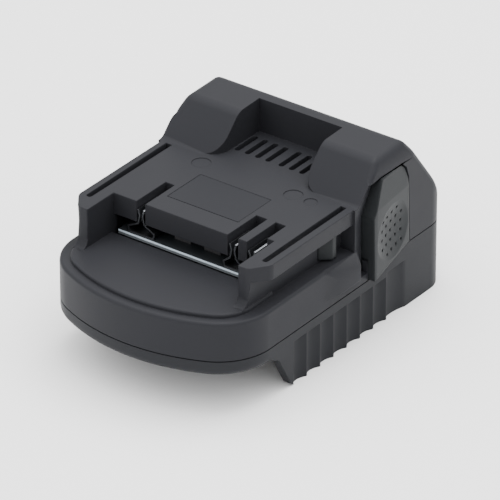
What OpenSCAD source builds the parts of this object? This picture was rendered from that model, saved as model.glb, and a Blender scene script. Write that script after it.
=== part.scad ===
// Adapter that carries a slide-in battery under a tool with a rail foot.
// The nose points to -Y, the hump stands at +Y and the feet rest on Z = 0.

/* [Base] */
// Width of the base across its side walls
base_w = 80; // [77:0.5:84]
// Length from the nose to the back
body_l = 125; // [121:1:132]
// Height from the feet to the ridge
body_h = 62; // [60:0.5:66]
// Thickness of the moulded walls
wall = 2.2; // [1.9:0.1:2.5]
// Radius of the nose seen from above
nose_r = 66; // [58:1:76]
// Radius of the two nose corners
nose_corner_r = 20.5; // [17:0.5:23]
// Radius of the two rear corners
rear_corner_r = 10; // [8:0.5:13]
// Height of the parting line at the nose
parting_z = 19.7; // [19.2:0.1:20.4]
// Rise of the parting line under the latches
parting_rise = 4.2; // [3:0.1:5]
// Height of the open groove along the parting line
parting_gap = 0.4; // [0.2:0.1:0.6]
// Height of the underside of the nose
skirt_z = 14; // [13.4:0.1:14.6]

/* [Nose] */
// Height of the ledge round the nose and along the rails
ledge_z = 34; // [33:0.1:34.6]
// Height of the raised plateau
plateau_z = 35.4; // [34.9:0.1:35.5]
// Width of the ledge in front of the plateau
plateau_front_inset = 3.5; // [2.5:0.1:5]
// Width of the ledge beside the plateau
plateau_side_inset = 5; // [4:0.1:5.4]
// Radius of the plateau's corners
plateau_corner_r = 13.5; // [10:0.5:16]

/* [Tool rails] */
// Width across the two rails
rail_span = 78.2; // [76:0.2:79.6]
// Height of the deck and rail tops
deck_z = 49.5; // [48.8:0.1:50.4]
// Thickness of the rails
rail_t = 5.6; // [5:0.1:6]
// Thickness of the deck plate
deck_t = 2.4; // [2:0.1:2.8]
// Distance of the rail fronts behind the nose
rail_setback = 20.5; // [18:0.5:23]
// Depth of the rail's front chamfer across the rail
rail_chamfer_x = 4.8; // [3:0.1:5]
// Length of the rail's front chamfer along the rail
rail_chamfer_y = 6.6; // [4:0.1:8]
// Width across the outsides of the neck under the rails
neck_span = 68.6; // [68:0.1:69.4]
// Thickness of the neck walls
neck_wall = 2.4; // [2:0.1:2.6]
// Width of the posts that close the neck walls at the front
post_w = 4; // [3.4:0.1:5]
// Radius of the fillet at the foot of each post
post_fillet_r = 3; // [1:0.5:4]
// Width of the long slot in each rail
rail_slot_w = 2.1; // [1.6:0.1:2.6]
// Distance of the rail slots behind the rail fronts
rail_slot_setback = 8; // [7:0.5:12]

/* [Tongue] */
// Distance of the tongue's front behind the nose
tongue_setback = 34.5; // [33:0.5:37]
// Height of the tongue's front face
tongue_h = 7.8; // [7.2:0.1:8.2]
// Thickness of the walls round the terminal slots
tongue_wall = 1.8; // [1.4:0.1:2]
// Length of the terminal slots
slot_l = 15.7; // [14.6:0.1:17]
// Centre of the positive slot
slot_positive_x = -19.2; // [-20:0.1:-18.6]
// Width of the positive slot
slot_positive_w = 3.5; // [3.2:0.1:4]
// Centre of the negative slot
slot_negative_x = 18; // [17.6:0.1:18.2]
// Width of the negative slot
slot_negative_w = 4.2; // [3.4:0.1:4.4]
// Centre of the signal slot
slot_signal_x = 25.6; // [25.4:0.1:26]
// Width of the signal slot
slot_signal_w = 3.9; // [3.2:0.1:4]
// Length of the open notch beside the signal slot
notch_l = 5.6; // [4:0.1:7]
// Width of the label recess
label_w = 28.8; // [22:0.2:29]
// Length of the label recess
label_l = 18; // [12:0.5:19]
// Depth of the label recess
label_depth = 0.4; // [0.3:0.05:0.6]
// Thickness of the label
label_t = 0.3; // [0.2:0.05:0.35]
// Distance of the label behind the tongue's front
label_setback = 8.6; // [7:0.1:10]
// Diameter of the moulding marks on the deck
mark_d = 6.6; // [4:0.1:7]
// Depth of the moulding marks
mark_depth = 0.25; // [0.1:0.05:0.4]

/* [Hump] */
// Distance of the hump's foot ahead of the back
hump_l = 51.8; // [51:0.1:52.6]
// Distance of the hump's front crest ahead of the back
crest_l = 40; // [39:0.1:41]
// Drop of the front crest below the ridge
crest_drop = 0.4; // [0.2:0.1:1]
// Distance of the ridge ahead of the back
ridge_l = 23.9; // [22:0.1:25]
// Width of the hump across its top
ridge_w = 76; // [73:0.5:78]
// Height where the drafted sides begin
draft_z = 57; // [55.5:0.5:58.5]
// Height of the foot of the sloping back
rear_foot_z = 30.5; // [29:0.1:33]
// Length of the hump's side faces ahead of its foot
groove_end_l = 1.95; // [1.5:0.05:2.4]
// Depth of the pocket from the hump's foot to its back wall
pocket_l = 22.9; // [21:0.1:24]
// Width of the pocket
pocket_w = 33.8; // [33:0.2:36]
// Radius of the rounded flanks at the pocket's mouth
pocket_flare_r = 6; // [4:0.5:7]
// Number of vent slots on each side of the middle
vent_pairs = 4; // [2:1:4]
// Spacing of the vent slots
vent_pitch = 4.2; // [3.6:0.1:4.3]
// Width of a vent slot
vent_w = 2; // [1.4:0.1:2.4]
// Length of a vent slot
vent_l = 11.6; // [8:0.2:12.4]
// Width of the plain rib between the two vent groups
vent_middle = 5.4; // [4:0.1:5.6]
// Distance of the vents behind the hump's foot
vent_setback = 7.7; // [7:0.1:9]

/* [Side guards] */
// How far the guards stand out of the side walls
guard_proud = 1.8; // [1:0.1:2.2]
// Length of the guards
guard_l = 17.4; // [14:0.2:19]
// Length of the guards' front ramp
guard_ramp = 5.5; // [3:0.1:8]
// Height of the guards above the parting line
guard_foot = 4; // [3:0.1:5]
// Height of the guards' upright face
guard_h = 5.6; // [4:0.1:7]
// How far the wall dips in front of a latch
dip_depth = 2.6; // [1.5:0.1:3]
// Length of that dip
dip_l = 7.2; // [5:0.1:7.4]
// Height of the dip's foot above the parting line
dip_foot = 3.2; // [1:0.1:5]

/* [Latches] */
// Distance of the latch's front edge ahead of the back
latch_l = 46.4; // [45.8:0.1:47]
// Length of a latch along the side wall
latch_w = 23.5; // [22.5:0.1:24.5]
// Height of a latch above the parting line
latch_h = 35.4; // [34.6:0.1:36]
// Height of a latch's upright front edge
latch_front_h = 24; // [22:0.1:26]
// Length of the slant above the front edge
latch_slant_l = 6.7; // [5:0.1:8]
// Length of the corner at a latch's upper rear
latch_corner_l = 4.9; // [3:0.1:6]
// Depth of a latch behind its face
latch_depth = 9.1; // [8.6:0.1:9.6]
// Depth of a latch's face to the hollow behind it
latch_skin = 5.3; // [4.8:0.1:5.6]
// How far the front of a latch stands out of the side wall
latch_proud = 2.5; // [1.5:0.1:3]
// How far the rear of a latch stands out of the side wall
latch_rear_proud = 0.1; // [0:0.05:0.5]
// Clearance round a latch
latch_gap = 0.4; // [0.3:0.05:0.6]
// Travel of a latch
latch_travel = 3.2; // [2.4:0.1:3.3]
// Diameter of the finger dimple
dimple_d = 20.4; // [16:0.2:21]
// Depth of the finger dimple
dimple_depth = 1.3; // [0.6:0.1:1.6]
// Spacing of the grip dots
dot_pitch = 3.5; // [3:0.1:4]
// Diameter of a grip dot
dot_d = 1; // [0.7:0.1:1.3]
// Depth of a grip dot
dot_depth = 0.45; // [0.2:0.05:0.6]
// Reach of the claw out of the neck wall
claw_reach = 3.3; // [2.8:0.1:3.6]
// Length of the claw's flat tip
claw_tip_l = 2.1; // [1.5:0.1:3]
// Distance of the claw's locking face ahead of the hump's foot
claw_setback = 8.9; // [8.5:0.1:10]
// Thickness of the latch arm
arm_t = 3; // [2.5:0.1:3.2]
// Outer diameter of a latch spring
spring_d = 7; // [6:0.1:7.4]
// Wire diameter of a latch spring
spring_wire = 0.7; // [0.5:0.05:0.9]
// Number of turns of a latch spring
spring_turns = 6; // [4:1:7]

/* [Battery seat] */
// Width of the channel that takes the battery
channel_w = 66.4; // [64:0.2:68]
// Width between the rails that hold the battery
lip_gap = 57.4; // [55:0.2:59]
// Thickness of the battery rails
lip_t = 3.6; // [2.8:0.1:4.4]
// Distance of the channel's end wall ahead of the back
channel_end_l = 15; // [14:0.1:16]
// Distance of the side walls' tips behind the nose
foot_setback = 37.2; // [35:0.2:40]
// Thickness of the side walls ahead of the battery rails
leg_t = 3.2; // [2.6:0.1:4]
// Distance of the battery rails behind the side walls' tips
lip_setback = 7; // [5:0.5:10]
// Radius of the side walls' tips and of the fillets above them
foot_r = 3; // [1:0.5:4]
// Rake of the side walls' front edges
foot_rake = 8; // [4:0.2:12]
// Spacing of the flutes
flute_pitch = 7.4; // [6.4:0.1:7.6]
// Number of flutes on each side
flute_count = 7; // [4:1:7]
// Radius of a flute
flute_r = 7; // [5.5:0.1:9]
// Distance of a flute's deepest line behind its front crest
flute_lead = 2.9; // [2.5:0.1:3.7]
// Depth of a flute at its deepest line
flute_depth = 1.3; // [0.8:0.05:1.6]
// Drop of the flutes' tops below the parting line
flute_drop = 3.3; // [2.5:0.1:5]
// Length of the broad flute behind the others
broad_flute_l = 11.5; // [8:0.5:12]
// Width of the recess for the battery's catch
catch_w = 18; // [14:0.5:22]
// Length of the recess for the battery's catch
catch_l = 7; // [5:0.5:9]
// Depth of the recess for the battery's catch
catch_depth = 4; // [3:0.1:4.4]
// Distance of the catch recess behind the nose
catch_setback = 9.5; // [8:0.5:12]

/* [Board and contacts] */
// Thickness of the board
board_t = 1.6; // [1.2:0.1:1.8]
// Width of the board
board_w = 56; // [55:0.5:58]
// Distance of the board's end ahead of the hump's foot
board_setback = 8.4; // [7:0.1:10]
// Height of the board's face above the plateau
board_rise = 1.7; // [1.2:0.1:2]
// Thickness of the contact sheet
clip_t = 0.6; // [0.4:0.05:0.7]
// Length of the clips along the slots
clip_l = 10.5; // [8:0.5:11]
// Half width of the positive clip
clip_positive_half = 5.3; // [4:0.1:5.6]
// Half width of the negative clip
clip_negative_half = 3.8; // [3:0.1:4]
// Half width of the signal clip
clip_signal_half = 2.4; // [2.2:0.1:2.6]
// Width of a power transistor
transistor_w = 6.6; // [5:0.1:6.6]
// Length of a power transistor
transistor_l = 9.5; // [7:0.1:10]
// Height of a power transistor
transistor_h = 2.3; // [1.5:0.1:2.6]
// Width of the control chip
chip_w = 5; // [4:0.1:5.2]
// Height of the control chip
chip_h = 1.5; // [1:0.1:2]
// Diameter of the smoothing capacitor
capacitor_d = 6.3; // [5:0.1:6.6]
// Distance of the battery blades from the middle
blade_x = 14; // [12:0.5:14.4]
// Thickness of the battery blades
blade_t = 1; // [0.8:0.1:1.2]
// Height of the battery blades
blade_h = 5.5; // [4:0.1:6]
// Free length of the battery blades
blade_l = 11; // [8:0.5:14]
// Place of the signal blade across the channel
signal_x = 4.5; // [3:0.5:7]
// Width of the terminal block
block_w = 44; // [40:0.5:46]
// Depth of the terminal block
block_d = 7; // [6:0.2:8]
// Height of the terminal block
block_h = 9.6; // [8.6:0.1:10.2]
// Diameter of the leads
lead_d = 2.4; // [1.6:0.1:2.6]
// Bend radius of the leads
lead_bend = 5; // [4:0.5:7]

/* [Screws] */
// Diameter of the housing screws
screw_d = 3; // [2.5:0.1:3.2]
// Length of the housing screws
screw_l = 11; // [9:0.5:12]
// Diameter of the screw heads
head_d = 5.6; // [5:0.1:6]
// Height of the screw heads
head_h = 2; // [1.6:0.1:2.2]
// Diameter of the screw bosses
boss_d = 7; // [6.4:0.1:7.4]
// Diameter of the small screws
small_screw_d = 2; // [1.6:0.1:2.4]
// Length of the small screws
small_screw_l = 6; // [5:0.5:7]

/* [Hidden] */
$fn = 64;

// Reach of a cut that has to pass every face of the part
far = 200;
// Overlap that carries a cut past the face it opens
eps = 0.5;
// Running clearance between fixed pieces that don't touch
fit = 0.2;
// How far a round passes its two straight sides, so that it crosses them cleanly
round_over = 0.02;

front = -body_l / 2;
back = body_l / 2;
side = base_w / 2;

parting_rear_z = parting_z + parting_rise;
floor_z = skirt_z + wall;
latch_y = back - latch_l;
latch_rear_y = latch_y + latch_w;

rail_front = front + rail_setback;
rail_x = rail_span / 2;
rail_z = deck_z - rail_t;
neck_x = neck_span / 2;
neck_in = neck_x - neck_wall;
post_in = neck_x - post_w;
rail_slot_x = neck_x + 0.2 + rail_slot_w / 2;
rail_slot_y = rail_front + rail_slot_setback;

tongue_y = front + tongue_setback;
tongue_z = deck_z - tongue_h;
deck_under = deck_z - deck_t;
slot_end_y = tongue_y + slot_l;
mouth_y = tongue_y - 1.3;
label_x = -0.6;

hump_y = back - hump_l;
groove_end_y = hump_y - groove_end_l;
crest_y = back - crest_l;
ridge_y = back - ridge_l;
crest_z = body_h - crest_drop;
dip_y = latch_y - dip_l;
foot_y = front + foot_setback;
flute_y = foot_y + 0.6;
catch_y = front + catch_setback;

// Outline of the hump seen from the side, and its section across
hump_side = [
    [groove_end_y, 0], [back, 0], [back, rear_foot_z], [ridge_y, body_h],
    [crest_y, crest_z], [hump_y, deck_z], [groove_end_y, deck_z]
];
hump_section = [
    [-side, 0], [side, 0], [side, draft_z],
    [ridge_w / 2, body_h], [-ridge_w / 2, body_h], [-side, draft_z]
];

// Line along which the two housings meet, seen from the side
parting_line = [
    [-far, parting_z], [latch_y, parting_z],
    [latch_rear_y, parting_rear_z], [far, parting_rear_z]
];

// Outline of a latch seen from the side; its foot follows the parting line
latch_top = parting_z + latch_h;
latch_kink_z = parting_z + latch_front_h;
latch_outline = [
    [latch_y + 0.6, parting_z], [latch_rear_y, parting_rear_z],
    [latch_rear_y - 0.2 * latch_corner_l, latch_top - 1.3 * latch_corner_l],
    [latch_rear_y - 0.48 * latch_corner_l, latch_top - 0.5 * latch_corner_l],
    [latch_rear_y - latch_corner_l, latch_top],
    [latch_y + latch_slant_l, latch_top], [latch_y, latch_kink_z]
];
latch_x = side + latch_proud;
latch_in = latch_x - latch_depth;
latch_hollow_x = latch_x - latch_skin;
latch_flat = 1.9;
latch_lean = 0.125;
latch_lean_z = latch_kink_z + 2.3;
latch_slope = (latch_proud - latch_rear_proud) / (latch_rear_y - latch_y - latch_flat);
dimple_y = latch_y + 0.523 * latch_w;
dimple_z = parting_z + 0.39 * latch_h;
arm_x = neck_in - latch_gap;
arm_z = plateau_z + board_rise + 0.5;
arm_top = rail_z - 0.6;
claw_y = hump_y - claw_setback;
claw_x = neck_x + claw_reach;
claw_front = claw_y - claw_tip_l - claw_reach;
claw_z = ledge_z + 2 * latch_gap;
claw_room = 0.5;
dot_skew = parting_rise / (latch_rear_y - latch_y) * sqrt(3) / 2;
dimple_r = (dimple_d * dimple_d / 4 + dimple_depth * dimple_depth) / (2 * dimple_depth);

board_top = plateau_z + board_rise;
board_z = board_top - board_t;
board_y = mouth_y + 0.6;
board_end = hump_y - board_setback;
board_screw_x = 12;
board_screw_y = board_end - 6.3;

channel_end = back - channel_end_l;
channel_x = channel_w / 2;
blade_z = skirt_z - block_h / 2 - fit;
block_y = channel_end - block_d;
lead_z = floor_z + lead_d;
lead_y = board_end - 3;
lead_end_y = channel_end + wall + 3.1;
tail_y = lead_end_y + 1.4;
block_screw_x = 9;
rib_x = 19;
rib_t = 2.2;
spring_seat_x = rib_x + rib_t + 0.05;
spring_l = latch_hollow_x - spring_seat_x - 0.05;

// Places of the housing screws, as [x, y, height of the seat under the head]
screw_places = [
    for (s = [-1, 1]) each [
        [s * 25, front + 17, skirt_z + head_h + fit],
        [s * 19.5, hump_y - 2.6, skirt_z + head_h + fit],
        [s * 25, back - 9, parting_rear_z - wall - 1]
    ]
];
seat_t = 2.2;
well_d = head_d + 0.6;
small_head_d = 1.9 * small_screw_d;
small_head_h = 1.4;
board_boss_d = 4.6;
thread_gap = 0.1;

// Points of a counterclockwise outline moved inwards by d
function unit(v) = v / norm(v);
function inward(a, b) = let (e = unit(b - a)) [-e[1], e[0]];
function corner_in(a, b, c, d) = let (m = inward(a, b), n = inward(b, c)) b + d * (m + n) / (1 + m * n);
function inset(points, d) = let (n = len(points)) [
    for (i = [0:n - 1]) corner_in(points[(i + n - 1) % n], points[i], points[(i + 1) % n], d)
];

// Outline of a bent strip of thickness t whose middle follows an open line
function line_normal(p, i) = let (
    a = i > 0 ? inward(p[i - 1], p[i]) : inward(p[0], p[1]),
    b = i < len(p) - 1 ? inward(p[i], p[i + 1]) : a
) (a + b) / (1 + a * b);
function strip(p, t) = concat(
    [for (i = [0:len(p) - 1]) p[i] - t / 2 * line_normal(p, i)],
    [for (i = [len(p) - 1:-1:0]) p[i] + t / 2 * line_normal(p, i)]
);

// Solids made from an outline seen from the side, the front or above
module from_side(points, x0, x1) {
    translate([x0, 0, 0]) rotate([90, 0, 90]) linear_extrude(x1 - x0) polygon(points);
}

module from_front(points, y0, y1) {
    translate([0, y1, 0]) rotate([90, 0, 0]) linear_extrude(y1 - y0) polygon(points);
}

module from_above(points, z0, z1) {
    translate([0, 0, z0]) linear_extrude(z1 - z0) polygon(points);
}

module block(x0, x1, y0, y1, z0, z1) {
    translate([x0, y0, z0]) cube([x1 - x0, y1 - y0, z1 - z0]);
}

module both_sides() {
    children();
    mirror([1, 0, 0]) children();
}

// D-shaped outline with a round nose, two nose corners and an optional pair of rear corners
module d_outline(half_w, nose_y, arc_r, corner_r, end_y, end_r) {
    centre_y = nose_y + arc_r;
    corner_x = half_w - corner_r;
    corner_y = centre_y - sqrt(pow(arc_r - corner_r, 2) - pow(corner_x, 2));
    sector = 1.02 * arc_r / (centre_y - corner_y);
    sector_x = sector * corner_x;
    sector_y = centre_y + sector * (corner_y - centre_y);
    intersection() {
        translate([0, centre_y]) circle(arc_r);
        polygon([[0, centre_y], [-sector_x, sector_y], [sector_x, sector_y]]);
    }
    translate([-half_w, corner_y]) square([2 * half_w, end_y - end_r - corner_y]);
    for (s = [-1, 1]) translate([s * corner_x, corner_y]) circle(corner_r + round_over);
    if (end_r > 0) {
        translate([end_r - half_w, corner_y]) square([2 * (half_w - end_r), end_y - corner_y]);
        for (s = [-1, 1]) translate([s * (half_w - end_r), end_y - end_r]) circle(end_r);
    }
}

// The base seen from above, moved inwards by d
module base_prism(d, z0, z1) {
    translate([0, 0, z0]) linear_extrude(z1 - z0)
        d_outline(side - d, front + d, nose_r - d, nose_corner_r - d, back - d, rear_corner_r - d);
}

module plateau_prism(d, z0, z1) {
    inset_y = plateau_front_inset + d;
    translate([0, 0, z0]) linear_extrude(z1 - z0)
        d_outline(
            side - plateau_side_inset - d, front + inset_y, nose_r - inset_y,
            plateau_corner_r - d, mouth_y, 0
        );
}

module above_parting(rise) {
    from_side(concat([for (p = parting_line) p + [0, rise]], [[far, far], [-far, far]]), -far, far);
}

module below_parting() {
    from_side(concat(parting_line, [[far, -far], [-far, -far]]), -far, far);
}

// Everything on the far side of a plane, for cutting
module beyond(point, normal) {
    translate(point)
        rotate([0, acos(normal[2] / norm(normal)), atan2(normal[1], normal[0])])
            translate([-far / 2, -far / 2, 0]) cube(far);
}

// Upper housing: the pieces of its outside
module hump_shape(d) {
    intersection() {
        from_side(inset(hump_side, d), -far, far);
        from_front(inset(hump_section, d), -far, far);
        base_prism(d, 0, far);
    }
}

module rail(s) {
    rail_outline = [
        [post_in, rail_front], [neck_x, rail_front],
        [rail_x, rail_front + rail_chamfer_y], [rail_x, hump_y], [post_in, hump_y]
    ];
    mirror([s < 0 ? 1 : 0, 0, 0]) {
        difference() {
            from_above(rail_outline, rail_z, deck_z);
            translate([rail_slot_x, rail_slot_y, rail_z - eps])
                cylinder(d = rail_slot_w, h = rail_t + 2 * eps);
            block(
                rail_slot_x - rail_slot_w / 2, rail_slot_x + rail_slot_w / 2,
                rail_slot_y, groove_end_y, rail_z - eps, deck_z + eps
            );
        }
    }
}

module neck() {
    post_back = tongue_y + tongue_wall;
    both_sides() {
        block(neck_in, neck_x, rail_front, hump_y, ledge_z - wall, rail_z);
        block(post_in, neck_x, rail_front, post_back, plateau_z - wall, rail_z);
        difference() {
            block(
                post_in, neck_x, rail_front - post_fillet_r, rail_front,
                plateau_z - wall, plateau_z + post_fillet_r
            );
            translate([0, rail_front - post_fillet_r, plateau_z + post_fillet_r])
                rotate([0, 90, 0]) cylinder(r = post_fillet_r, h = far);
        }
    }
}

// A terminal slot, open at the tongue's front and right through it
module terminal_slot(x, width) {
    block(x - width / 2, x + width / 2, tongue_y - eps, slot_end_y, 0, far);
}

module tongue() {
    left_x = slot_positive_x - slot_positive_w / 2 - tongue_wall;
    middle_x = slot_positive_x + slot_positive_w / 2 + tongue_wall;
    right_x = slot_negative_x - slot_negative_w / 2 - tongue_wall;
    difference() {
        union() {
            block(-neck_in, neck_in, tongue_y, hump_y, deck_under, deck_z);
            block(-neck_in, neck_in, tongue_y, slot_end_y + tongue_wall, tongue_z, deck_z);
        }
        terminal_slot(slot_positive_x, slot_positive_w);
        terminal_slot(slot_negative_x, slot_negative_w);
        terminal_slot(slot_signal_x, slot_signal_w);
        // notch between the signal slot and the post
        block(slot_signal_x, post_in, tongue_y - eps, tongue_y + notch_l, 0, far);
        // hollows behind the front skirt, beside and between the slots
        block(-far, left_x, tongue_y + tongue_wall, far, 0, deck_under);
        block(middle_x, right_x, tongue_y + tongue_wall, far, 0, deck_under);
    }
}

module guard() {
    guard_y = dip_y + 1 - guard_l;
    guard_z = parting_z + guard_foot;
    intersection() {
        from_above(
            [
                [side - wall, guard_y], [side, guard_y], [side + guard_proud, guard_y + guard_ramp],
                [side + guard_proud, dip_y + 1], [side - wall, dip_y + 1]
            ],
            guard_z, ledge_z
        );
        from_front(
            [
                [side - wall, guard_z], [side + guard_proud, guard_z],
                [side + guard_proud, guard_z + guard_h], [side, ledge_z], [side - wall, ledge_z]
            ],
            guard_y - eps, dip_y + 1 + eps
        );
    }
}

// The pocket in the hump, or the room its skin takes when d is above nought
module pocket(d) {
    half_w = pocket_w / 2;
    translate([0, 0, deck_z - (d > 0 ? deck_t : 0)]) linear_extrude(far) {
        translate([-half_w - d, hump_y - far / 2])
            square([2 * (half_w + d), far / 2 + pocket_l + d]);
        for (s = [-1, 1]) difference() {
            translate([s * (half_w + pocket_flare_r / 2) - pocket_flare_r / 2, hump_y - far / 2])
                square([pocket_flare_r, far / 2 + pocket_flare_r]);
            translate([s * (half_w + pocket_flare_r), hump_y + pocket_flare_r])
                circle(pocket_flare_r - d);
        }
    }
}

module housing_room() {
    base_prism(wall, 0, ledge_z - wall);
    plateau_prism(wall, 0, plateau_z - wall);
    block(-neck_in, neck_in, mouth_y, hump_y + 2 * wall, 0, deck_under);
    difference() {
        hump_shape(wall);
        pocket(wall);
    }
}

// Pillars that take the housing screws, kept inside the outer skin
module upper_pillars() {
    for (p = screw_places) {
        top_z = p[1] < mouth_y ? plateau_z - wall / 2 : deck_under + wall / 2;
        if (p[1] < hump_y) {
            translate([p[0], p[1], p[2] + seat_t]) cylinder(d = boss_d, h = top_z - p[2] - seat_t);
        } else {
            intersection() {
                translate([p[0], p[1], p[2] + seat_t]) cylinder(d = boss_d, h = body_h);
                hump_shape(wall / 2);
            }
        }
    }
    for (s = [-1, 1]) translate([s * board_screw_x, board_screw_y, board_top])
        cylinder(d = board_boss_d, h = deck_under + wall / 2 - board_top);
}

module upper_pilots() {
    for (p = screw_places) translate(p) cylinder(d = screw_d + thread_gap, h = screw_l + 1);
    for (s = [-1, 1]) translate([s * board_screw_x, board_screw_y, board_top - eps])
        cylinder(d = small_screw_d + thread_gap, h = small_screw_l);
}

module vents() {
    for (s = [-1, 1]) for (i = [0:vent_pairs - 1]) {
        x = s * (vent_middle / 2 + i * vent_pitch);
        y0 = hump_y + vent_setback + vent_w / 2;
        y1 = y0 + vent_l - vent_w;
        block(x - vent_w / 2, x + vent_w / 2, y0, y1, deck_under - eps, deck_z + eps);
        for (y = [y0, y1]) translate([x, y, deck_under - eps])
            cylinder(d = vent_w, h = deck_t + 2 * eps, $fn = 32);
    }
}

module deck_marks() {
    block(
        label_x - label_w / 2, label_x + label_w / 2,
        tongue_y + label_setback, tongue_y + label_setback + label_l, deck_z - label_depth, deck_z + eps
    );
    translate([-19.4, hump_y - 5.7, deck_z - mark_depth]) cylinder(d = mark_d, h = mark_depth + eps);
    translate([17.5, hump_y - 5.1, deck_z - mark_depth]) cylinder(d = mark_d, h = mark_depth + eps);
    translate([24.8, hump_y - 5.5, deck_z - mark_depth]) cylinder(d = 0.7 * mark_d, h = mark_depth + eps);
}

// Wall that falls back in front of a latch: upright below, then leaning back with the latch's slant
module dip_cut() {
    lean = latch_slant_l / (latch_top - latch_kink_z);
    foot_z = parting_z + dip_foot;
    intersection() {
        block(0, far, dip_y, latch_y, foot_z, latch_kink_z);
        beyond([side, dip_y, latch_kink_z], [dip_l, dip_depth, 0]);
    }
    intersection() {
        from_side(
            [
                [dip_y, latch_kink_z], [latch_y, latch_kink_z],
                [latch_y + latch_slant_l, latch_top], [dip_y + latch_slant_l, latch_top]
            ],
            0, far
        );
        beyond([side, dip_y, latch_kink_z], [dip_l, dip_depth, -lean * dip_depth]);
    }
}

module dip_backing() {
    edge_y = latch_y - latch_gap;
    foot_z = parting_z + dip_foot - wall;
    intersection() {
        hump_shape(0);
        from_side(
            [
                [groove_end_y, foot_z], [edge_y, foot_z], [edge_y, latch_kink_z],
                [edge_y + latch_slant_l, latch_top], [groove_end_y, latch_top]
            ],
            side - dip_depth - wall, far
        );
    }
}

module upper_shell() {
    difference() {
        union() {
            difference() {
                union() {
                    base_prism(0, 0, ledge_z);
                    plateau_prism(0, ledge_z - wall, plateau_z);
                    hump_shape(0);
                }
                housing_room();
            }
            difference() {
                both_sides() dip_backing();
                pocket(wall);
            }
            rail(1);
            rail(-1);
            neck();
            tongue();
            upper_pillars();
        }
        both_sides() dip_cut();
        below_parting();
        // groove along the parting line
        difference() {
            above_parting(-eps);
            above_parting(parting_gap);
            base_prism(0.5, 0, far);
        }
        intersection() {
            pocket(0);
            block(-far, far, groove_end_y - eps, far, 0, far);
        }
        vents();
        deck_marks();
        upper_pilots();
        both_sides() {
            from_side(inset(latch_outline, -latch_gap), latch_in - wall, far);
            block(
                neck_in - eps, neck_x + eps, claw_front - claw_room, claw_y + claw_room,
                claw_z - latch_gap, rail_z
            );
        }
    }
}

module upper_housing() {
    color("#35373b") union() {
        upper_shell();
        both_sides() guard();
    }
}

// One flute of the side walls, cut between its own two crests
module flute(y, length, lead, radius, top_z) {
    intersection() {
        translate([side - flute_depth + radius, y + lead, -eps]) cylinder(r = radius, h = top_z + eps);
        block(0, far, y, y + length, -far, far);
    }
}

module flutes() {
    top_z = parting_z - flute_drop;
    for (i = [0:flute_count - 1])
        flute(flute_y + i * flute_pitch, flute_pitch, flute_lead, flute_r, top_z);
    broad_y = flute_y + flute_count * flute_pitch;
    flute(broad_y, broad_flute_l, 0.3 * broad_flute_l, 3 * flute_r, top_z + 1.6);
}

// A rounded corner: the kite between a corner and its two tangent points, less the round
module corner_round(corner, along, other, r) {
    reach = r / tan(acos(along * other) / 2);
    centre = corner + unit(along + other) * norm([r, reach]);
    difference() {
        polygon([corner - unit(along + other), corner + reach * along, centre, corner + reach * other]);
        translate(centre) circle(r + round_over);
    }
}

// Everything in front of the side walls and under the nose
module foot_cut() {
    tip = [foot_y, 0];
    root = [foot_y - foot_rake, skirt_z];
    rake = unit(root - tip);
    translate([-far, 0, 0]) rotate([90, 0, 90]) linear_extrude(2 * far) {
        difference() {
            polygon([[-far, -far], tip - rake * far, root, [-far, skirt_z]]);
            corner_round(root, -rake, [-1, 0], foot_r);
        }
        corner_round(tip, rake, [1, 0], foot_r);
    }
}

module lower_room() {
    base_prism(wall, floor_z, far);
    foot_cut();
    // room between the bare front ends of the side walls
    block(leg_t - side, side - leg_t, -far, foot_y + lip_setback, -far, skirt_z);
    // battery channel between its two rails
    block(-channel_x, channel_x, -far, channel_end, lip_t, skirt_z);
    block(-lip_gap / 2, lip_gap / 2, -far, channel_end, -far, skirt_z);
    // compartment behind the channel, for the terminals' tails
    intersection() {
        base_prism(wall, wall, far);
        block(wall - channel_x, channel_x - wall, channel_end + wall, far, wall, far);
    }
}

module lower_bosses() {
    for (p = screw_places) {
        low_z = p[1] < channel_end ? skirt_z : 0;
        wide = p[1] < channel_end ? boss_d : well_d + 2 * 1.6;
        translate([p[0], p[1], low_z]) cylinder(d = wide, h = p[2] + seat_t - low_z);
    }
    // ribs that the latch springs push against, each with a spigot
    both_sides() {
        block(rib_x, rib_x + rib_t, dimple_y - 5, dimple_y + 5, floor_z - eps, dimple_z + 5.4);
        translate([rib_x, dimple_y, dimple_z]) rotate([0, 90, 0])
            cylinder(d = spring_d - 2 * spring_wire - 1.2, h = rib_t + 3);
    }
    // skin over the recess for the battery's catch
    block(
        -catch_w / 2 - wall, catch_w / 2 + wall, catch_y - wall, catch_y + catch_l + wall,
        skirt_z, skirt_z + catch_depth + wall
    );
}

module lower_holes() {
    for (p = screw_places) {
        translate([p[0], p[1], -eps]) cylinder(d = well_d, h = p[2] + eps);
        translate([p[0], p[1], -eps]) cylinder(d = screw_d + 2 * fit, h = far / 2);
    }
    block(-catch_w / 2, catch_w / 2, catch_y, catch_y + catch_l, 0, skirt_z + catch_depth);
    for (x = [-blade_x, blade_x, signal_x])
        block(
            x - blade_t / 2 - fit, x + blade_t / 2 + fit, channel_end - eps, channel_end + wall + eps,
            blade_z - blade_h / 2 - fit, blade_z + blade_h / 2 + fit
        );
    for (s = [-1, 1]) translate([s * block_screw_x, channel_end - eps, blade_z]) rotate([-90, 0, 0])
        cylinder(d = small_screw_d + 2 * fit, h = wall + 2 * eps);
}

module lower_housing() {
    color("#2c2e31") difference() {
        union() {
            difference() {
                intersection() {
                    base_prism(0, 0, far);
                    below_parting();
                }
                lower_room();
                both_sides() flutes();
            }
            lower_bosses();
        }
        lower_holes();
    }
}

// Latches: one push piece per side, with an arm that carries the claw
function latch_face_x(y) = latch_x - latch_slope * (y - latch_y - latch_flat);
function dimple_fall(y, z) = let (r = norm([y - dimple_y, z - dimple_z]))
    dimple_depth - dimple_r + sqrt(dimple_r * dimple_r - r * r);

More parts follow.
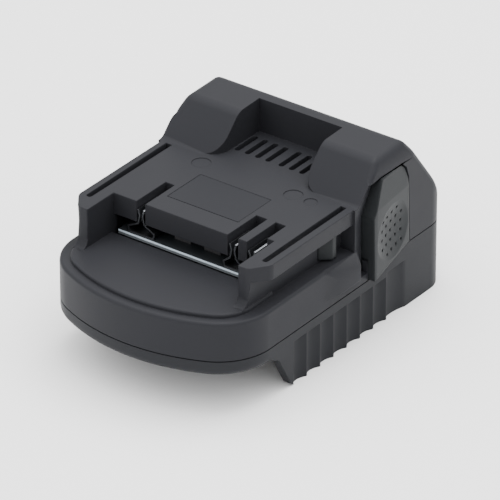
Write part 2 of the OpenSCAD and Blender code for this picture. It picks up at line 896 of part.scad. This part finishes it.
module grip_dots() {
    for (i = [-3:3]) for (j = [-3:3]) {
        y = dimple_y + i * dot_pitch * sqrt(3) / 2;
        z = dimple_z + j * dot_pitch + i * dot_pitch * dot_skew;
        if (norm([y - dimple_y, z - dimple_z]) < dimple_d / 2 - 1.5)
            translate([latch_face_x(y) - dimple_fall(y, z) - dot_depth, y, z]) rotate([0, 90, 0])
                cylinder(d = dot_d, h = far / 4, $fn = 16);
    }
}

module latch_body() {
    difference() {
        intersection() {
            from_side(latch_outline, latch_in, latch_x);
            above_parting(latch_gap);
        }
        from_side(inset(latch_outline, wall), latch_in - eps, latch_hollow_x);
        beyond([latch_x, latch_y + latch_flat, 0], [1, latch_slope, 0]);
        beyond([latch_x, latch_y + latch_flat, latch_lean_z], [1, latch_slope, latch_lean]);
        translate([latch_face_x(dimple_y), dimple_y, dimple_z])
            translate((dimple_r - dimple_depth) * unit([1, latch_slope, 0])) sphere(dimple_r, $fn = 128);
        grip_dots();
    }
}

module latch() {
    latch_body();
    // cup round the spring's end
    difference() {
        translate([latch_in + 1, dimple_y, dimple_z]) rotate([0, 90, 0])
            cylinder(d = spring_d + 3, h = latch_hollow_x - latch_in - 1 + eps);
        translate([latch_in, dimple_y, dimple_z]) rotate([0, 90, 0])
            cylinder(d = spring_d + 0.8, h = latch_hollow_x - latch_in);
    }
    // lip that keeps the latch behind the wall at its rear edge
    block(
        side - wall - latch_gap - 1.8, side - wall - latch_gap, latch_rear_y - 2, latch_rear_y + 1.5,
        parting_rear_z + 3.1, parting_rear_z + 14.1
    );
    // arm, its web and the claw
    block(arm_x - arm_t, arm_x, claw_front, latch_y + 5.9, arm_z, arm_top);
    block(arm_x - arm_t, latch_in + wall, latch_y + 0.9, latch_y + 5.9, arm_z, arm_top);
    from_above(
        [
            [arm_x - arm_t, claw_front], [neck_x, claw_front], [claw_x, claw_y - claw_tip_l],
            [claw_x, claw_y], [arm_x - arm_t, claw_y]
        ],
        arm_z, arm_top
    );
    from_above(
        [
            [arm_x, claw_front], [neck_x, claw_front], [claw_x, claw_y - claw_tip_l],
            [claw_x, claw_y], [arm_x, claw_y]
        ],
        claw_z, arm_z + eps
    );
}

module latch_right() {
    color("#3a3c40") latch();
}

module latch_left() {
    color("#3a3c40") mirror([1, 0, 0]) latch();
}

// Latch spring: one tube wound along X, eight rings a turn and six sides
spring_rings = 8 * spring_turns;
spring_mid_r = (spring_d - spring_wire) / 2;
spring_pitch = (spring_l - spring_wire) / spring_turns;
function spring_point(i, r, x) = [
    spring_wire / 2 + spring_pitch * i / 8 + x, r * cos(45 * i), r * sin(45 * i)
];
spring_middle = [for (i = [0:spring_rings]) spring_point(i, spring_mid_r, 0)];
spring_gap = min([
    for (i = [0:spring_rings - 5]) for (k = [i + 5:spring_rings])
        norm(spring_middle[i] - spring_middle[k])
]) - spring_wire;
echo(latch_spring_gap_mm = spring_gap);

module latch_spring() {
    points = [
        for (i = [0:spring_rings]) for (j = [0:5])
            spring_point(i, spring_mid_r + spring_wire / 2 * cos(60 * j), spring_wire / 2 * sin(60 * j))
    ];
    sides = [
        for (i = [0:spring_rings - 1]) for (j = [0:5])
            [6 * i + j, 6 * i + (j + 1) % 6, 6 * i + 6 + (j + 1) % 6, 6 * i + 6 + j]
    ];
    ends = [[5, 4, 3, 2, 1, 0], [for (j = [0:5]) 6 * spring_rings + j]];
    polyhedron(points, concat(sides, ends));
}

module latch_spring_right() {
    color("#b9bcc0") translate([spring_seat_x, dimple_y, dimple_z]) latch_spring();
}

module latch_spring_left() {
    color("#b9bcc0") translate([-spring_seat_x, dimple_y, dimple_z]) rotate([0, 0, 180]) latch_spring();
}

module blank_label() {
    gap = 0.15;
    color("#1d1e20") block(
        label_x - label_w / 2 + gap, label_x + label_w / 2 - gap,
        tongue_y + label_setback + gap, tongue_y + label_setback + label_l - gap,
        deck_z - label_depth, deck_z - label_depth + label_t
    );
}

module tool_board() {
    color("#d8ddd6") difference() {
        block(-board_w / 2, board_w / 2, board_y, board_end, board_z, board_top);
        for (s = [-1, 1]) translate([s * board_screw_x, board_screw_y, board_z - eps])
            cylinder(d = small_screw_d + 2 * fit, h = board_t + 2 * eps);
    }
}

// Contact clip: one bent strip, wide on the board and pinched under its slot
module tool_clip(x, half_w) {
    room = tongue_z - board_top;
    arm = [
        [half_w - 0.5, clip_t / 2], [half_w, 0.45 * room], [1.2, room - 0.4],
        [0.3 + clip_t / 2, room + 2.6], [1.15, room + 4.9]
    ];
    bend = concat([for (i = [len(arm) - 1:-1:0]) [-arm[i][0], arm[i][1]]], arm);
    translate([x, 0, board_top]) from_front(strip(bend, clip_t), tongue_y, tongue_y + clip_l);
}

module tool_clip_positive() {
    color("#c8a860") tool_clip(slot_positive_x, clip_positive_half);
}

module tool_clip_negative() {
    color("#c8a860") tool_clip(slot_negative_x, clip_negative_half);
}

module tool_clip_signal() {
    color("#c8a860") tool_clip(slot_signal_x, clip_signal_half);
}

module power_transistors() {
    transistor_x = chip_w / 2 + 0.2;
    transistor_y = tongue_y + 5;
    color("#18191b") both_sides() block(
        transistor_x, transistor_x + transistor_w, transistor_y, transistor_y + transistor_l,
        board_top, board_top + transistor_h
    );
}

module control_chip() {
    color("#18191b") block(
        -chip_w / 2, chip_w / 2, board_screw_y - chip_w / 2, board_screw_y + chip_w / 2,
        board_top, board_top + chip_h
    );
}

module smoothing_capacitor() {
    color("#40464f") translate([slot_positive_x - 0.8, board_end - capacitor_d / 2 - 0.45, board_top])
        cylinder(d = capacitor_d, h = tongue_z - board_top - 0.6);
}

// A screw whose head hangs below the seat at Z = 0
module screw(shank_d, shank_l, cap_d, cap_h) {
    cylinder(d = shank_d, h = shank_l);
    difference() {
        translate([0, 0, -cap_h]) cylinder(d = cap_d, h = cap_h);
        for (a = [0, 90]) rotate([0, 0, a])
            translate([-0.3 * cap_d, -0.07 * cap_d, -cap_h - eps])
                cube([0.6 * cap_d, 0.14 * cap_d, 0.55 * cap_h + eps]);
    }
}

module board_screws() {
    color("#9da0a4") for (s = [-1, 1]) translate([s * board_screw_x, board_screw_y, board_z])
        screw(small_screw_d, small_screw_l, small_head_d, small_head_h);
}

module housing_screws() {
    color("#7d8084") for (p = screw_places) translate(p) screw(screw_d, screw_l, head_d, head_h);
}

module terminal_block_screws() {
    color("#9da0a4") for (s = [-1, 1]) translate([s * block_screw_x, channel_end + wall, blade_z])
        rotate([90, 0, 0]) screw(small_screw_d, small_screw_l, small_head_d, small_head_h);
}

module battery_terminal_block() {
    color("#1b1c1e") difference() {
        block(-block_w / 2, block_w / 2, block_y, channel_end, blade_z - block_h / 2, blade_z + block_h / 2);
        for (x = [-blade_x, blade_x, signal_x])
            block(
                x - blade_t / 2, x + blade_t / 2, block_y - eps, channel_end + eps,
                blade_z - blade_h / 2, blade_z + blade_h / 2
            );
        for (s = [-1, 1]) translate([s * block_screw_x, channel_end + eps, blade_z]) rotate([90, 0, 0])
            cylinder(d = small_screw_d + thread_gap, h = small_screw_l - wall + 2 * eps);
    }
}

module blade(x, tip_y) {
    low_z = blade_z - blade_h / 2;
    high_z = blade_z + blade_h / 2;
    from_side(
        [
            [tip_y + 1.2, low_z], [tail_y, low_z], [tail_y, high_z],
            [tip_y + 1.2, high_z], [tip_y, high_z - 1.2], [tip_y, low_z + 1.2]
        ],
        x - blade_t / 2, x + blade_t / 2
    );
}

module battery_blade_positive() {
    color("#d3b878") blade(-blade_x, block_y - blade_l);
}

module battery_blade_negative() {
    color("#d3b878") blade(blade_x, block_y - blade_l);
}

module battery_blade_signal() {
    color("#d3b878") blade(signal_x, block_y - 0.7 * blade_l);
}

// Lead from the board down to the floor, along it and down onto a blade's tail
module elbow(y, z, turn, d) {
    translate([0, y, z]) rotate([90, 0, 90]) rotate([0, 0, turn])
        rotate_extrude(angle = 90) translate([lead_bend, 0]) circle(d = d, $fn = 32);
}

module lead(x, d) {
    high_z = lead_z + lead_bend;
    low_z = lead_z - lead_bend;
    tail_z = blade_z + blade_h / 2;
    translate([x, 0, 0]) {
        translate([0, lead_y, high_z]) cylinder(d = d, h = board_z - high_z, $fn = 32);
        elbow(lead_y + lead_bend, high_z, 180, d);
        translate([0, lead_y + lead_bend, lead_z]) rotate([-90, 0, 0])
            cylinder(d = d, h = lead_end_y - lead_y - 2 * lead_bend, $fn = 32);
        elbow(lead_end_y - lead_bend, low_z, 0, d);
        translate([0, lead_end_y, tail_z]) cylinder(d = d, h = low_z - tail_z, $fn = 32);
    }
}

module lead_positive() {
    color("#8e2a22") lead(-blade_x, lead_d);
}

module lead_negative() {
    color("#222327") lead(blade_x, lead_d);
}

module lead_signal() {
    color("#b08a2c") lead(signal_x, 0.6 * lead_d);
}

upper_housing();
lower_housing();
latch_right();
latch_left();
latch_spring_right();
latch_spring_left();
blank_label();
tool_board();
tool_clip_positive();
tool_clip_negative();
tool_clip_signal();
power_transistors();
control_chip();
smoothing_capacitor();
board_screws();
battery_terminal_block();
battery_blade_positive();
battery_blade_negative();
battery_blade_signal();
terminal_block_screws();
lead_positive();
lead_negative();
lead_signal();
housing_screws();
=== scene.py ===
import math

import bmesh
import bpy
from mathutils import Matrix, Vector


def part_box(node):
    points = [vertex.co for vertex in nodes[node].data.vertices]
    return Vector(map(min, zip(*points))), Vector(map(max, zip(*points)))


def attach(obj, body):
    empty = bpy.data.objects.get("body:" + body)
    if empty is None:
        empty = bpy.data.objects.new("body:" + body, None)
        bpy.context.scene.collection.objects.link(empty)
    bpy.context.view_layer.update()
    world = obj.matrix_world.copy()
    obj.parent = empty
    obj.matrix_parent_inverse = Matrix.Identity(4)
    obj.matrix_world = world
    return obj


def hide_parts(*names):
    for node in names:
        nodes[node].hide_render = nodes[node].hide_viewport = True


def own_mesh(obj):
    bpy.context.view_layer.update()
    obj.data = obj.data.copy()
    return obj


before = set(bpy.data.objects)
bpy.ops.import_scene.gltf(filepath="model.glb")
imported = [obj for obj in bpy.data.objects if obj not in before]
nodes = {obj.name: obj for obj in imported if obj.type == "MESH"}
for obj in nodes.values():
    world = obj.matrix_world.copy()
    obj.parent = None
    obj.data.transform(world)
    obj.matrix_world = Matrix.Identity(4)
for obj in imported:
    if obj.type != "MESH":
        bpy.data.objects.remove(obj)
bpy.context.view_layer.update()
MM = 0.001


# Materials: the grain that the plastics share is a node group, and every shader stays in its material

GRAIN_SCALE = 2600.0
GRAIN_DETAIL = 3.0
GRAIN_DEPTH = 0.25
GRAIN_HEIGHT = 0.1 * MM
BLOTCH_SCALE = 90.0
BLOTCH_ROUGHNESS = 0.05
SATIN = 0.45
PLASTIC_SHINE = 0.07
SOFT_EDGE = 0.3 * MM
LATCH_EDGE = 0.9 * MM
BEVEL_SAMPLES = 6
# Board: the pale cut colour shows only in a thin band under the top face, a painted highlight line, with
# painted shade on the cut below it
HIGHLIGHT_BAND = 0.7 * MM
# Dark coat on the board's faces, also painted shade under the tongue
DARK_COAT_AND_SHADE = (0.012, 0.014, 0.016, 1.0)
PAINTED_SHADE_CUT = (0.09, 0.1, 0.11, 1.0)
PALE_CUT_HIGHLIGHT = (0.55, 0.64, 0.72, 1.0)


def new_group(name, inputs, outputs):
    group = bpy.data.node_groups.new(name, "ShaderNodeTree")
    for label, kind, value in inputs:
        socket = group.interface.new_socket(label, in_out="INPUT", socket_type=kind)
        socket.default_value = value
    for label, kind in outputs:
        group.interface.new_socket(label, in_out="OUTPUT", socket_type=kind)
    return group, group.nodes.new("NodeGroupInput"), group.nodes.new("NodeGroupOutput")


def grain_group():
    """Moulded plastic: fine grain as a bump over softened edges, and a slight change of roughness."""
    group, start, end = new_group(
        "moulded_grain",
        [("Scale", "NodeSocketFloat", GRAIN_SCALE), ("Depth", "NodeSocketFloat", GRAIN_DEPTH),
         ("Roughness", "NodeSocketFloat", SATIN), ("Round", "NodeSocketFloat", SOFT_EDGE)],
        [("Roughness", "NodeSocketFloat"), ("Normal", "NodeSocketVector")])
    make, link = group.nodes.new, group.links.new
    place = make("ShaderNodeTexCoord")
    fine = make("ShaderNodeTexNoise")
    fine.inputs["Detail"].default_value = GRAIN_DETAIL
    broad = make("ShaderNodeTexNoise")
    broad.inputs["Scale"].default_value = BLOTCH_SCALE
    spread = make("ShaderNodeMapRange")
    spread.inputs["To Min"].default_value = -BLOTCH_ROUGHNESS
    spread.inputs["To Max"].default_value = BLOTCH_ROUGHNESS
    total = make("ShaderNodeMath")
    bevel = make("ShaderNodeBevel")
    bevel.samples = BEVEL_SAMPLES
    bump = make("ShaderNodeBump")
    bump.inputs["Distance"].default_value = GRAIN_HEIGHT
    link(place.outputs["Object"], fine.inputs["Vector"])
    link(place.outputs["Object"], broad.inputs["Vector"])
    link(start.outputs["Scale"], fine.inputs["Scale"])
    link(broad.outputs["Fac"], spread.inputs["Value"])
    link(start.outputs["Roughness"], total.inputs[0])
    link(spread.outputs["Result"], total.inputs[1])
    link(start.outputs["Round"], bevel.inputs["Radius"])
    link(start.outputs["Depth"], bump.inputs["Strength"])
    link(fine.outputs["Fac"], bump.inputs["Height"])
    link(bevel.outputs["Normal"], bump.inputs["Normal"])
    link(total.outputs["Value"], end.inputs["Roughness"])
    link(bump.outputs["Normal"], end.inputs["Normal"])
    return group


GRAIN = grain_group()


def new_material(name):
    mat = bpy.data.materials.new(name)
    mat.use_nodes = True
    return mat, mat.node_tree, mat.node_tree.nodes["Principled BSDF"]


def plastic(name, color, roughness=SATIN, depth=GRAIN_DEPTH, edge=SOFT_EDGE):
    mat, tree, shader = new_material(name)
    shader.inputs["Base Color"].default_value = (*color, 1.0)
    shader.inputs["Specular IOR Level"].default_value = PLASTIC_SHINE
    grain = tree.nodes.new("ShaderNodeGroup")
    grain.node_tree = GRAIN
    grain.inputs["Scale"].default_value = GRAIN_SCALE
    grain.inputs["Depth"].default_value = depth
    grain.inputs["Roughness"].default_value = roughness
    grain.inputs["Round"].default_value = edge
    tree.links.new(grain.outputs["Roughness"], shader.inputs["Roughness"])
    tree.links.new(grain.outputs["Normal"], shader.inputs["Normal"])
    return mat


def plain(name, color, roughness, metallic=0.0):
    mat, _, shader = new_material(name)
    shader.inputs["Base Color"].default_value = (*color, 1.0)
    shader.inputs["Roughness"].default_value = roughness
    shader.inputs["Metallic"].default_value = metallic
    return mat


def laminate(name):
    """Dark coated faces, and cut edges with a painted highlight: pale in a band under the top face, painted
    shade below it.
    """
    mat, tree, shader = new_material(name)
    shader.inputs["Roughness"].default_value = SATIN
    make, link = tree.nodes.new, tree.links.new
    place = make("ShaderNodeTexCoord")
    height = make("ShaderNodeSeparateXYZ")
    in_highlight_band = make("ShaderNodeMath")
    in_highlight_band.operation = "GREATER_THAN"
    in_highlight_band.inputs[1].default_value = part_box("tool_board")[1].z - HIGHLIGHT_BAND
    geometry = make("ShaderNodeNewGeometry")
    normal = make("ShaderNodeSeparateXYZ")
    slope = make("ShaderNodeMath")
    slope.operation = "ABSOLUTE"
    # Painted highlight band on the cut edge and painted shade under it
    edge = make("ShaderNodeMix")
    face = make("ShaderNodeMix")
    for mix in (edge, face):
        mix.data_type = "RGBA"
    edge.inputs["A"].default_value = PAINTED_SHADE_CUT
    edge.inputs["B"].default_value = PALE_CUT_HIGHLIGHT
    face.inputs["B"].default_value = DARK_COAT_AND_SHADE
    link(place.outputs["Object"], height.inputs["Vector"])
    link(height.outputs["Z"], in_highlight_band.inputs[0])
    link(in_highlight_band.outputs["Value"], edge.inputs["Factor"])
    link(edge.outputs["Result"], face.inputs["A"])
    link(geometry.outputs["Normal"], normal.inputs["Vector"])
    link(normal.outputs["Z"], slope.inputs[0])
    link(slope.outputs["Value"], face.inputs["Factor"])
    link(face.outputs["Result"], shader.inputs["Base Color"])
    return mat


UPPER = plastic("upper_plastic", (0.0182, 0.0186, 0.0215))
LOWER = plastic("lower_plastic", (0.0175, 0.0182, 0.0205))
LATCH = plastic("latch_plastic", (0.0178, 0.0195, 0.0208), roughness=0.4, edge=LATCH_EDGE)
LABEL = plastic("label_film", (0.0165, 0.017, 0.0198), roughness=0.5, depth=0.1)
BLOCK = plastic("block_plastic", (0.012, 0.012, 0.013), roughness=0.55)
CHIP = plain("chip_resin", (0.015, 0.015, 0.017), roughness=0.55)
SLEEVE = plain("capacitor_sleeve", (0.03, 0.04, 0.07), roughness=0.25)
BOARD = laminate("board_laminate")
# Tin darkened far below bare tin: painted shade for the clips down in the dark slots
TIN_PAINTED_SHADE = plain("contact_tin", (0.13, 0.135, 0.145), roughness=0.34, metallic=1.0)
BRASS = plain("contact_brass", (0.72, 0.62, 0.44), roughness=0.3, metallic=1.0)
STEEL = plain("spring_steel", (0.6, 0.6, 0.62), roughness=0.3, metallic=1.0)
SCREW = plain("screw_steel", (0.42, 0.43, 0.45), roughness=0.35, metallic=1.0)
RED = plain("lead_red", (0.4, 0.03, 0.025), roughness=0.5)
BLACK = plain("lead_black", (0.02, 0.02, 0.022), roughness=0.5)
YELLOW = plain("lead_yellow", (0.55, 0.38, 0.06), roughness=0.5)

FINISH = {
    "upper_housing": UPPER, "lower_housing": LOWER, "latch_right": LATCH, "latch_left": LATCH,
    "latch_spring_right": STEEL, "latch_spring_left": STEEL, "blank_label": LABEL, "tool_board": BOARD,
    "tool_clip_positive": TIN_PAINTED_SHADE, "tool_clip_negative": TIN_PAINTED_SHADE, "tool_clip_signal": TIN_PAINTED_SHADE,
    "power_transistors": CHIP, "control_chip": CHIP, "smoothing_capacitor": SLEEVE, "board_screws": SCREW,
    "battery_terminal_block": BLOCK, "battery_blade_positive": BRASS, "battery_blade_negative": BRASS,
    "battery_blade_signal": BRASS, "terminal_block_screws": SCREW, "lead_positive": RED,
    "lead_negative": BLACK, "lead_signal": YELLOW, "housing_screws": SCREW,
}
for name, mat in FINISH.items():
    mesh = nodes[name].data
    mesh.materials.clear()
    mesh.materials.append(mat)


# Rounding: copies of the two housings stand for their CAD nodes, with the edges softened that show

WELD_DISTANCE = 2e-6
SAME_PLANE = math.radians(0.4)
SHARP_FROM = math.radians(31)

# Heights of the CAD's levels in millimetres, and how near an edge has to lie
SKIRT_Z = 14.0
RIM_Z = 34.0
PLATEAU_Z = 35.4
RAIL_UNDER_Z = 43.9
DECK_Z = 49.5
SLACK = 0.04

# Limits in millimetres that part one group of edges from another
BASE_SIDE_X = 39.0
SIDE_WALL_X = 39.9
PLATEAU_SIDE_X = 34.4
RAIL_X = (34.2, 39.2)
POST_X = 31.0
POCKET_CLEAR_X = 30.0
RIM_NOSE_Y = -44.0
NOSE_Y = -40.0
POST_Y = -41.0
RAIL_FRONT_Y = (-43.0, -30.0)
DECK_END_Y = 8.6
RIM_END_Y = 8.8
HUMP_Y = 10.5
REAR_WALL_Y = 52.0
CORNER_FOOT_Z = 33.5
LATCH_TOP_Z = 53.0
CORNER_HEIGHT = 4.0
SLOT_ROUND_STEP = 0.7

# Parts of a face's unit normal that tell which face it is
LEVEL = 0.99
TOP_RISE = 0.985
WALL_RISE = 0.1
SLOPE_RUN = 0.6
FRONT_RISE = 0.5
REAR_RISE = 0.4
DRAFT_RUN = 0.9
DRAFT_RISE = 0.2
SIDE_RUN = 0.3


def weld(name):
    """The node's mesh with its faces joined up and its flat faces whole again."""
    bm = bmesh.new()
    bm.from_mesh(nodes[name].data)
    bmesh.ops.remove_doubles(bm, verts=bm.verts[:], dist=WELD_DISTANCE)
    bmesh.ops.dissolve_limit(
        bm, angle_limit=SAME_PLANE, use_dissolve_boundaries=False, verts=bm.verts[:], edges=bm.edges[:])
    return bm


def round_edges(bm, test, width, segments, least, convex=True):
    """Round the edges that turn by more than least degrees and pass a test on their ends and face normals."""
    chosen = []
    for edge in bm.edges:
        turned = len(edge.link_faces) == 2 and edge.calc_face_angle() > math.radians(least)
        if turned and edge.is_convex == convex:
            a, b = (v.co / MM for v in edge.verts)
            m, n = (face.normal for face in edge.link_faces)
            if test(a, b, m, n):
                chosen.append(edge)
    bmesh.ops.bevel(
        bm, geom=chosen, offset=width * MM, offset_type="OFFSET", segments=segments, profile=0.5,
        affect="EDGES", clamp_overlap=False, material=-1, loop_slide=True)


def stand_in(name, bm, body):
    """Show a rounded copy in the node's place, riding on the node's body."""
    bmesh.ops.recalc_face_normals(bm, faces=bm.faces[:])
    for face in bm.faces:
        face.smooth = True
    for edge in bm.edges:
        edge.smooth = len(edge.link_faces) == 2 and edge.calc_face_angle() < SHARP_FROM
    mesh = bpy.data.meshes.new(name + "_rounded")
    bm.to_mesh(mesh)
    bm.free()
    mesh.materials.append(FINISH[name])
    piece = bpy.data.objects.new(name + "_rounded", mesh)
    bpy.context.scene.collection.objects.link(piece)
    weighted = piece.modifiers.new("flat_faces_stay_flat", "WEIGHTED_NORMAL")
    weighted.keep_sharp = True
    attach(piece, body)
    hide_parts(name)


def near(value, target):
    return abs(value - target) < SLACK


def at_height(a, b, z):
    return near(a.z, z) and near(b.z, z)


def upright(a, b):
    return near(a.x, b.x) and near(a.y, b.y)


def least_x(a, b):
    return min(abs(a.x), abs(b.x))


def wall_and_level(m, n, up):
    """The wall's normal, where one face is level and looks up or down and the other is upright."""
    for flat, wall in ((m, n), (n, m)):
        if flat.z * up > LEVEL and abs(wall.z) < WALL_RISE:
            return wall
    return None


def outline_edge(a, b, m, n, z, up, reach_x, reach_y):
    """True on the outer outline of the base at height z."""
    wall = wall_and_level(m, n, up)
    if wall is None or not at_height(a, b, z):
        return False
    return all(abs(p.x) > reach_x or p.y < reach_y for p in (a, b)) and wall.x * a.x - wall.y > -1


def rim_edge(a, b, m, n):
    """Top of the base's outer wall, up to the hump."""
    return outline_edge(a, b, m, n, RIM_Z, 1, BASE_SIDE_X, RIM_NOSE_Y) and max(a.y, b.y) < RIM_END_Y


def plateau_edge(a, b, m, n):
    """Outer edge of the low step on the nose."""
    return outline_edge(a, b, m, n, PLATEAU_Z, 1, PLATEAU_SIDE_X, NOSE_Y)


def skirt_edge(a, b, m, n):
    """Lower edge of the outer wall."""
    return outline_edge(a, b, m, n, SKIRT_Z, -1, BASE_SIDE_X, NOSE_Y)


def hump_face(n):
    """Which outer face of the hump a normal belongs to, or None."""
    if n.z > TOP_RISE:
        return "top"
    if n.y < -SLOPE_RUN and n.z > FRONT_RISE:
        return "front"
    if n.y > SLOPE_RUN and n.z > REAR_RISE:
        return "rear"
    if abs(n.x) > DRAFT_RUN and n.z > DRAFT_RISE:
        return "draft"
    if abs(n.z) < WALL_RISE:
        return "wall"
    return None


def hump_edge(a, b, m, n):
    """Edges between the hump's outer faces: over its top, along its drafted sides and round its rear."""
    kinds = {hump_face(m), hump_face(n)}
    if None in kinds or len(kinds) == 1 or min(a.y, b.y) < HUMP_Y:
        return False
    if "wall" not in kinds:
        return "top" in kinds and "draft" not in kinds or least_x(a, b) > POCKET_CLEAR_X
    rear = "rear" in kinds and (least_x(a, b) > SIDE_WALL_X or min(a.y, b.y) > REAR_WALL_Y)
    over_latch = kinds in ({"wall", "draft"}, {"wall", "front"}) and min(a.z, b.z) > LATCH_TOP_Z
    return rear or over_latch and least_x(a, b) > SIDE_WALL_X


def hump_foot(a, b, m, n):
    """The line where the hump's front slope meets the deck."""
    return at_height(a, b, DECK_Z) and {hump_face(m), hump_face(n)} == {"top", "front"}


def rail_corner(a, b, m, n):
    """Upright corners at the rails' front ends."""
    on_rail = RAIL_FRONT_Y[0] < a.y < RAIL_FRONT_Y[1] and RAIL_X[0] < abs(a.x) < RAIL_X[1]
    tall = abs(a.z - b.z) > CORNER_HEIGHT and min(a.z, b.z) > CORNER_FOOT_Z
    return upright(a, b) and on_rail and tall


def post_corner(a, b, m, n):
    """Upright corners beside the mouth, in front of the deck."""
    return upright(a, b) and a.y < POST_Y and abs(a.x) < POST_X and min(a.z, b.z) > CORNER_FOOT_Z


def deck_edge(a, b, m, n):
    """Edges of the deck and its slots, without the short steps of round corners."""
    on_deck = wall_and_level(m, n, 1) is not None and at_height(a, b, DECK_Z)
    return on_deck and (a - b).length > SLOT_ROUND_STEP and min(a.y, b.y) < DECK_END_Y


def rail_foot(a, b, m, n):
    """Lower outer edges of the rails."""
    wall = wall_and_level(m, n, -1)
    if wall is None or not at_height(a, b, RAIL_UNDER_Z):
        return False
    return least_x(a, b) > RAIL_X[0] and abs(wall.x) > SIDE_RUN


upper = weld("upper_housing")
round_edges(upper, rim_edge, width=1.2, segments=4, least=25)
round_edges(upper, plateau_edge, width=0.7, segments=3, least=25)
round_edges(upper, hump_edge, width=2.1, segments=4, least=12)
round_edges(upper, hump_foot, width=1.4, segments=4, least=12, convex=False)
round_edges(upper, rail_corner, width=1.2, segments=3, least=25)
round_edges(upper, post_corner, width=0.5, segments=2, least=25)
round_edges(upper, deck_edge, width=0.3, segments=2, least=40)
round_edges(upper, rail_foot, width=0.3, segments=2, least=40)
stand_in("upper_housing", upper, "housing")

lower = weld("lower_housing")
round_edges(lower, skirt_edge, width=3.0, segments=5, least=25)
stand_in("lower_housing", lower, "housing")


# Springs: each spring's mesh is copied into an object that rides on the housing, in place of its node

for side, outwards in (("right", 1), ("left", -1)):
    name = "latch_spring_" + side
    coil = bpy.data.objects.new(name + "_coil", nodes[name].data.copy())
    bpy.context.scene.collection.objects.link(coil)
    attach(coil, "housing")
    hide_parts(name)
    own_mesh(coil)


# Stage: floor, sky, lights and camera

FLOOR_REACH = 4.0
SKY_STRENGTH = (0.45, 3.4)
LIGHT_TARGET = Vector((0, 0, 0.03))
AZIMUTH = math.radians(36.5)
ELEVATION = math.radians(30.0)
CAMERA_DISTANCE = 2.0
VIEW_WIDTH = 0.1638
VIEW_CENTRE = Vector((4.0, 0.2, 26.6)) * MM


def area_light(name, place, size, power):
    data = bpy.data.lights.new(name, "AREA")
    data.shape = "RECTANGLE"
    data.size, data.size_y = size
    data.energy = power
    light = bpy.data.objects.new(name, data)
    light.location = place
    light.rotation_mode = "QUATERNION"
    light.rotation_quaternion = (LIGHT_TARGET - Vector(place)).to_track_quat("-Z", "Y")
    bpy.context.scene.collection.objects.link(light)


floor_shape = bmesh.new()
bmesh.ops.create_grid(floor_shape, x_segments=1, y_segments=1, size=FLOOR_REACH)
floor_mesh = bpy.data.meshes.new("floor")
floor_shape.to_mesh(floor_mesh)
floor_shape.free()
floor_mesh.materials.append(plain("floor_paper", (0.92, 0.92, 0.92), roughness=0.9))
floor = bpy.data.objects.new("floor", floor_mesh)
bpy.context.scene.collection.objects.link(floor)

world = bpy.data.worlds.new("studio")
world.use_nodes = True
sky = world.node_tree
background = sky.nodes["Background"]
background.inputs["Color"].default_value = (1.0, 1.0, 1.0, 1.0)
direction = sky.nodes.new("ShaderNodeTexCoord")
split = sky.nodes.new("ShaderNodeSeparateXYZ")
rise = sky.nodes.new("ShaderNodeMapRange")
rise.inputs["To Min"].default_value, rise.inputs["To Max"].default_value = SKY_STRENGTH
sky.links.new(direction.outputs["Generated"], split.inputs["Vector"])
sky.links.new(split.outputs["Z"], rise.inputs["Value"])
sky.links.new(rise.outputs["Result"], background.inputs["Strength"])
bpy.context.scene.world = world

area_light("top", place=(0.05, 0.25, 0.9), size=(0.7, 0.7), power=9.0)
area_light("front", place=(-0.45, -0.9, 0.3), size=(0.6, 0.4), power=2.5)

run = math.cos(ELEVATION)
back = Vector((math.sin(AZIMUTH) * run, -math.cos(AZIMUTH) * run, math.sin(ELEVATION)))
camera_data = bpy.data.cameras.new("camera")
camera_data.lens = camera_data.sensor_width * CAMERA_DISTANCE / VIEW_WIDTH
camera_data.dof.use_dof = False
camera = bpy.data.objects.new("camera", camera_data)
camera.rotation_mode = "QUATERNION"
camera.location = VIEW_CENTRE + back * CAMERA_DISTANCE
camera.rotation_quaternion = (-back).to_track_quat("-Z", "Y")
bpy.context.scene.collection.objects.link(camera)
bpy.context.scene.camera = camera
